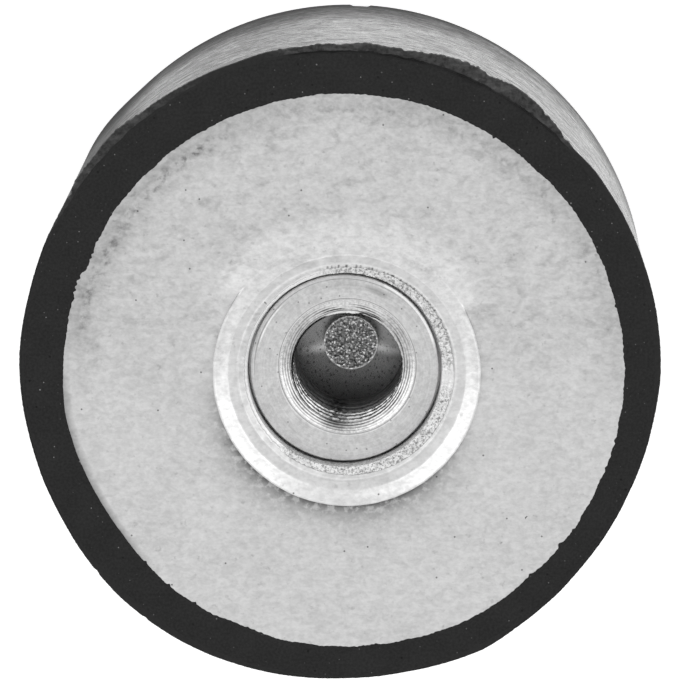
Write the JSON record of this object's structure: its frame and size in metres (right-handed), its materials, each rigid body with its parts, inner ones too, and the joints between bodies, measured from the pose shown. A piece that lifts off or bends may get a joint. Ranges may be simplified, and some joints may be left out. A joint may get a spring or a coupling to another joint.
{
  "type": "rubber buffer",
  "caption": "Round moulded rubber buffer with a bonded steel face plate and a blind threaded bush in the plate's centre, screwed on as a stop or foot.",
  "frame": {"origin": "on the thread's axis, level with the free rubber face that the buffer stands on; the rubber's own axis lies 0.6 mm from it, at X -0.50 mm and Y +0.35 mm, as moulded", "axes": "+Z along the thread's axis, from the free rubber face towards the face plate and out of the thread's mouth; +Y towards the side of the wall that the picture shows"},
  "size_m": [0.0405, 0.0407, 0.0305],
  "materials": {
    "rubber": "moulded black rubber, matt on the end face and satin on the wall",
    "plated_plate": "dull mottled zinc plating on pressed steel",
    "plated_bush": "zinc plating over fine turning marks"
  },
  "bodies": {
    "root": {"rubber_body": "rubber", "face_plate": "plated_plate", "threaded_bush": "plated_bush"}
  },
  "joints": []
}
